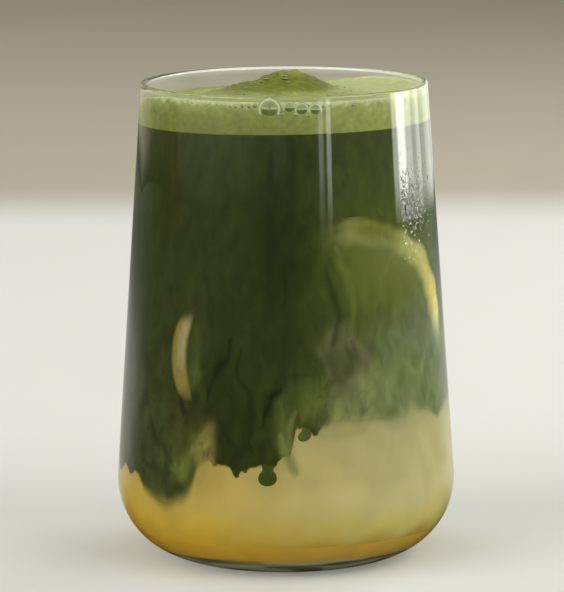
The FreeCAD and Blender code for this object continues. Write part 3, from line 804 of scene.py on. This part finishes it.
def flat_slice_mesh():
    """One closed grid: from the middle of the face on the glass out to the rind, through it, and back over
    the other face. It bends with the glass."""
    turn = np.linspace(0, 2 * np.pi, 301)[:-1]
    out = np.concatenate([np.linspace(0, 1, 56)[1:-1], [0.995, 1]])[:, None]
    reach = np.concatenate([out, out[::-1][:1], out[::-1][::8]])
    behind = np.full(len(reach) - len(out) - 1, SLICE_THICK)
    depth = np.concatenate([np.zeros(len(out)), [SLICE_THICK / 2], behind])[:, None]
    bearing = SLICE_AT[0] + bearings_of(SLICE_SIZE[0] * reach * np.cos(turn))
    height = SLICE_AT[1] + SLICE_SIZE[1] * reach * np.sin(turn)
    seen = step_up(reach * np.sin(turn), -0.36, -0.24) * step_up(reach * np.cos(turn), -0.8, -0.6)
    proud = (sunk(bearing) + 0.07) * seen - 0.5 * (1 - seen)
    grid = place(skin_radius(height) + proud - depth, bearing, height)
    middle = place(skin_radius(SLICE_AT[1]) + 0.1 - np.array([0, SLICE_THICK]), *SLICE_AT)
    return closed(grid, middle, flat_slice_look(bearing, height))


def standing_slice_mesh():
    """A round on its edge, its rind pressed on the glass where it comes nearest: yellow on its outer side,
    cream where the pith starts, and gone in the tea above and below."""
    turn = np.linspace(-np.pi, np.pi, 361)[:-1]
    over = np.linspace(-1, 1, 25)[:, None]
    up = STANDING_RADIUS * np.sin(turn)
    pressed = (np.cos(turn) > 0) * step_down(np.abs(up), 11, PRESSED_HALF)
    half = 1.08 * SLICE_THICK / 2 * np.clip(1 - (up / PRESSED_HALF) ** 4, 0.02, 1) ** 0.6
    across = over * (half * pressed + SLICE_THICK / 2 * (1 - pressed)) + 3.2 * (up / 11) ** 2 * pressed
    height = STANDING_AT[1] + up + 0 * over
    bearing = STANDING_AT[0] + bearings_of(across)
    away = skin_radius(STANDING_AT[1]) - STANDING_RADIUS - 1.5
    inner = away + STANDING_RADIUS * np.cos(turn)
    radius = inner + (skin_radius(height) + sunk(bearing) + 0.08 - inner) * pressed
    grid = place(radius, STANDING_AT[0], height)
    grid = grid + (place(radius, bearing, height) - grid) * pressed[..., None]
    sideways = place(1.0, STANDING_AT[0] + 90, 0.0)
    grid = grid + sideways * (across * (1 - pressed))[..., None]
    ends = [place(away, *STANDING_AT) + sideways * side * SLICE_THICK / 2 for side in (-1, 1)]
    mottled = 1 + 0.05 * ripples(place(MEAN_RADIUS, bearing, height), 2.2, 55)
    over, up = np.broadcast_arrays(over, up)
    rind = blend(tint(140, 122, 56), tint(160, 150, 104), step_up(over, -0.5, 0.1) * step_up(up, -9, 3))
    rind = blend(rind, tint(96, 102, 48), 0.7 * step_up(over, 0.35, 0.95))
    rind = blend(rind, tint(124, 116, 58), 0.6 * step_up(-up, 2, 9))
    shown = step_down(np.abs(over), 0.55, 1.0) * step_down(np.abs(up + 0.4), 7.5, 11.2)
    return closed(grid, ends, blend(drink_look(bearing, height), rind * mottled[..., None], 0.94 * shown))


lemon_slices = join_meshes("lemon_slices", [flat_slice_mesh(), standing_slice_mesh()])
dress(lemon_slices, cloudy_drink("steeped_lemon", 420, 0.05))

# ---- The bubbles ----
# Large bubbles of the froth, caught on the glass at the front, and fine ones strung along the foam's line
# and over the mound. Each is a thin dome, dark inside and pale round its foot.

STRUNG_BUBBLES, MOUND_BUBBLES = 90, 260
BUBBLE_DARK, MOUND_DARK, BUBBLE_PALE = (84, 96, 38), (92, 102, 34), (204, 212, 166)

# Bubbles on the glass: bearing, height and radius.
BUBBLES = [
    (-5.8, 114.9, 2.2), (2.0, 115.3, 1.25), (6.9, 114.8, 1.4), (12.3, 114.7, 1.35), (-14, 115.6, 0.55),
    (-16.6, 115.6, 0.5), (-11.6, 115.7, 0.6), (-19.4, 115.4, 0.42), (4.5, 113.6, 0.4), (9.6, 113.4, 0.45),
    (-21.8, 115.5, 0.35), (15.4, 115.5, 0.5), (-0.9, 113.6, 0.35), (17.4, 115.6, 0.4), (28, 115.4, 0.5),
]


def bubble_mesh(foot, out, side, up, radius, flat, dark):
    """A dome on its foot, with a pale ring round it. Out, side and up are its own directions, and flat is
    how far it stands out against its radius."""
    swing = np.linspace(0, 2 * np.pi, 29)[:-1]
    ring = np.array([1.28, 1.16, 1.06, 0.98, 0.88, 0.72, 0.5, 0.25])[:, None]
    rise = np.array([-0.08, 0.10, 0.20, 0.17, 0.30, 0.62, 0.86, 0.97])[:, None] * radius * flat
    across, along = radius * ring * np.cos(swing), radius * ring * np.sin(swing)
    grid = foot + across[..., None] * side + along[..., None] * up + rise[..., None] * out
    pale = tint(*BUBBLE_PALE)
    look = blend(tint(*dark), pale, np.clip(1 - np.abs(ring - 1.08) / 0.22, 0, 1) + 0 * across)
    look = blend(look, tint(168, 172, 128), 0.55 * step_up(along / radius, 0.05, 0.35) * (ring < 0.95))
    look = blend(look, pale, 0.8 * np.exp(-((along / radius - 0.12) / 0.09) ** 2) * (ring < 1))
    return closed(grid, [foot - 0.1 * out, foot + radius * flat * out], look, last=7)


def scattered_bubbles():
    """The bubbles on the glass, then random ones: small ones strung along the foam's line, and others on
    the mound."""
    dice = np.random.default_rng(61)
    made = []
    on_glass = [(*bubble, 0.12) for bubble in BUBBLES]
    for _ in range(STRUNG_BUBBLES):
        on_glass.append((dice.normal(2, 26), 115.9 - dice.exponential(0.25), dice.uniform(0.12, 0.3), 0.1))
    axes = np.eye(3)
    for bearing, height, radius, flat in on_glass:
        out, side = place(1.0, bearing, 0.0), place(1.0, bearing + 90, 0.0)
        foot = place(skin_radius(height) - 0.02, bearing, height)
        made.append(bubble_mesh(foot, out, side, axes[2], radius, flat * 2 / (1 + radius), BUBBLE_DARK))
    edge = skin_radius(FOAM_LEVEL + MENISCUS_RISE)
    for _ in range(MOUND_BUBBLES):
        away, turn = 20 * dice.uniform() ** 0.7, dice.uniform(0, 2 * np.pi)
        x, y = away * np.cos(turn) - 3, away * np.sin(turn) * 0.9 - 2
        foot = np.array([x, y, foam_height(np.array([x]), np.array([y]), edge)[0] - 0.03])
        radius = dice.choice([0.18, 0.26, 0.4, 0.7], p=[0.5, 0.32, 0.14, 0.04])
        made.append(bubble_mesh(foot, axes[2], axes[0], axes[1], radius, 0.45, MOUND_DARK))
    return made


foam_bubbles = join_meshes("foam_bubbles", scattered_bubbles())
dress(foam_bubbles, wet_froth())

# ---- The dew ----
# Fine drops of water that the cold drink draws onto the outside of the glass, in a patch at the right under
# the rim. It is thickest at its left, where it starts.

DEW_DROPS = 620
DEW_LEFT, DEW_HEIGHT = 49, 90.5


def dew_drops():
    """Domes of water on the outer wall."""
    dice = np.random.default_rng(71)
    swing = np.linspace(0, 2 * np.pi, 11)[:-1]
    lean = np.linspace(0, np.pi / 2, 5)[:-1, None]
    wall = outline(BELLY_RADIUS, RIM_RADIUS, HEEL_RADIUS, 0, GLASS_TOP)
    made = []
    for _ in range(DEW_DROPS):
        bearing, height = DEW_LEFT + abs(dice.normal(6, 7)), dice.normal(DEW_HEIGHT, 4.6)
        radius = min(0.11 + dice.exponential(0.07), 0.4)
        across, up = radius * np.cos(lean) * np.cos(swing), radius * 1.15 * np.cos(lean) * np.sin(swing)
        out = 0.3 * radius * np.sin(lean) + 0 * swing
        rise = height + up
        base, side = np.interp(height, wall[:, 1], wall[:, 0]), np.interp(rise, wall[:, 1], wall[:, 0])
        grid = place(side - 0.02 + out, bearing + bearings_of(across), rise)
        ends = place(base + np.array([-0.03, 0.3 * radius]), bearing, height)
        made.append(closed(grid, ends, np.ones(grid.shape)))
    return made


dew = join_meshes("dew", dew_drops())
dress(dew, clear_material("water", (1, 1, 1), WATER_INDEX, (1, 1, 1)))

# ---- The table, the lamps and the camera ----
# A pale table that runs back to a warm grey wall, and soft lamps that light the drink. What the glass mirrors
# is painted on cards that only mirrors see: the room with its windows, and the table round the glass.


def table_finish():
    """White round the glass, and the wall's warm grey from 600 mm behind it."""
    material, shader, add, link = new_material("table_finish", {"Roughness": 0.7, "Specular IOR Level": 0.1})
    where = add("ShaderNodeTexCoord")
    split = add("ShaderNodeSeparateXYZ")
    far = add("ShaderNodeMapRange", {"From Min": 0.55, "From Max": 0.68}, interpolation_type="SMOOTHSTEP")
    ramp = add("ShaderNodeValToRGB")
    ramp.color_ramp.elements[0].color = (*tint(210, 212, 209), 1)
    ramp.color_ramp.elements[1].color = (*tint(172, 166, 152), 1)
    link(where.outputs["Object"], split.inputs["Vector"])
    link(split.outputs["Y"], far.inputs["Value"])
    link(far.outputs["Result"], ramp.inputs["Fac"])
    link(ramp.outputs["Color"], shader.inputs["Base Color"])
    return material


TABLE_HALF = 6000
table_corners = TABLE_HALF * np.array([(-1, -1, 0), (1, -1, 0), (1, 1, 0), (-1, 1, 0)], dtype=float)
table = mesh_of("table", table_corners, [np.array([[0, 1, 2, 3]])])
table.data.materials.append(table_finish())


def lamp(name, bearing, away, height, width, tall, light, colour=(1, 1, 1), aim=60):
    """A soft lamp that faces the glass. Its light is how bright its face looks, and its power that times pi
    times its area."""
    data = bpy.data.lights.new(name, "AREA")
    data.shape, data.size, data.size_y = "RECTANGLE", width * MM, tall * MM
    data.energy = light * np.pi * width * tall * MM * MM
    data.color = colour
    made = bpy.data.objects.new(name, data)
    made.location = place(away, bearing, height) * MM
    across, up = np.radians(bearing), np.arctan2(height - aim, away)
    made.rotation_euler = (np.pi / 2 - up, 0, across)
    made.visible_camera = False
    bpy.context.scene.collection.objects.link(made)
    return made


# Around the drink, so bright that a colour renders about as it is written: three soft boxes before it, and
# behind it a window to the right and a softer one to the left.
lamp("soft_left", -55, 1500, 1200, 1400, 1100, 4.2, (1, 0.99, 0.97))
lamp("soft_right", 55, 1500, 1200, 1400, 1100, 3.8, (1, 0.99, 0.97))
lamp("soft_front", 0, 1700, 1500, 1200, 900, 1.6)
back_right = lamp("window_light", 128, 1000, 500, 900, 800, 3.2, (1, 0.99, 0.96))
back_left = lamp("room_light", -130, 1400, 900, 1200, 900, 2.0, (1, 0.97, 0.92))
back_right.visible_glossy = back_left.visible_glossy = False

world = bpy.data.worlds.new("room")
bpy.context.scene.world = world
world.use_nodes = True
set_inputs(world.node_tree.nodes["Background"], {"Color": (*tint(206, 200, 188), 1), "Strength": 0.5})


def mirrored_only(name, points, glow):
    """A card that only mirrors see, from a grid of points and how bright it is at each."""
    rows, columns = points.shape[:2]
    corner = (np.arange(rows - 1) * columns)[:, None] + np.arange(columns - 1)
    faces = np.stack([corner, corner + 1, corner + columns + 1, corner + columns], axis=-1)
    card = mesh_of(name, points.reshape(-1, 3), [faces.reshape(-1, 4)])
    paint(card, glow, "glow")
    material, _, add, link = new_material(name, {})
    shine, read = add("ShaderNodeEmission"), add("ShaderNodeAttribute", attribute_name="glow")
    link(read.outputs["Color"], shine.inputs["Color"])
    link(shine.outputs["Emission"], material.node_tree.nodes["Material Output"].inputs["Surface"])
    card.data.materials.append(material)
    card.visible_camera = card.visible_diffuse = card.visible_transmission = card.visible_shadow = False


# The room that the glass mirrors, as brightness by bearing: dim panes to the left, two bright gaps, and a
# tall bright window at the right, in strips. Between them it is nearly dark.
PANES = [
    (-165, 0.8), (-140, 0.66), (-133, 0.6), (-124, 0.24), (-110, 0.1), (-96, 0.02), (-91, 0.02),
    (-89, 0.40), (-58, 0.44), (-48, 0.38), (-34.5, 0.42), (-33, 0.16), (-9, 0.15), (-7.6, 0.30),
    (0.4, 0.30), (1.4, 0.05), (24, 0.05), (25, 0.22), (26.2, 0.22), (26.8, 2.6), (29.6, 2.6), (30.6, 0.25),
    (32.2, 0.25), (33.2, 4.7), (35.8, 4.7), (36.8, 0.12), (91.4, 0.1), (92.6, 5.6), (97, 5.6), (98.6, 14),
    (106, 14), (108.5, 6.5), (115, 5.4), (118, 3.1), (122, 3.1), (125, 4.3), (129, 4.0), (131, 1.9),
    (139, 1.8), (142, 2.2), (155, 1.8), (158, 1.1), (172, 1.0),
]
# How far off they stand, by bearing.
PANES_AWAY = [
    (-140, 960), (-91, 1960), (-60, 3500), (-34, 6200), (-8, 9400), (1, 9400), (24, 4700), (30, 4700),
    (36, 4100), (80, 1800), (92, 1600), (100, 1420), (110, 1240), (120, 1080), (139, 860), (157, 720),
]

# How far from the axis the rows of the mirrored table lie.
TABLE_ROWS = [23.2, 30, 44, 60, 90, 140, 240, 330, 430, 560, 700, 900, 1400, 2400, 5000, 12000]


def room_cards():
    """The panes stand on the table and brighten over their first few degrees. The table before them is
    dark, and brightens to its own white close by behind the glass."""
    bearing = np.linspace(-165, 172, 1349)
    panes, away = np.array(PANES), np.array(PANES_AWAY)
    light = np.interp(bearing, panes[:, 0], panes[:, 1])
    far = np.interp(bearing, away[:, 0], away[:, 1])
    rise = np.array([0, 0.006, 0.012, 0.02, 0.03, 0.042, 0.08, 0.3])[:, None]
    warmth = blend(np.array([1, 0.9, 0.68]), np.array([1, 1, 0.94]), step_up(bearing, -20, 40))
    fade = step_up(rise, -0.004, 0.028 - 0.006 * step_up(bearing, 60, 90))
    mirrored_only("mirrored_room", place(far, bearing, rise * far), light[:, None] * warmth * fade[..., None])
    near = np.array(TABLE_ROWS)[:, None]
    side = step_up(np.abs(bearing - 4), 108, 138) * (1 - 0.72 * step_up(near, 330, 640))
    glow = blend(np.array([0.012, 0.012, 0.01]), np.array([0.56, 0.56, 0.5]), side)
    mirrored_only("mirrored_table", place(near, bearing, 0.8), glow)


room_cards()

CAMERA_SIDE, CAMERA_AWAY, CAMERA_HEIGHT = -0.75, 950, 221.6
CAMERA_PITCH, CAMERA_ROLL = 9.4, -0.295
camera_data = bpy.data.cameras.new("camera")
camera_data.lens, camera_data.sensor_width = 235.8, 36
camera_data.clip_start, camera_data.clip_end = 0.05, 20
camera = bpy.data.objects.new("camera", camera_data)
camera.location = (CAMERA_SIDE * MM, -CAMERA_AWAY * MM, CAMERA_HEIGHT * MM)
camera.rotation_mode = "ZYX"
camera.rotation_euler = (np.radians(90 - CAMERA_PITCH), 0, np.radians(CAMERA_ROLL))
bpy.context.scene.collection.objects.link(camera)
bpy.context.scene.camera = camera
bpy.context.scene.view_settings.view_transform = "Standard"
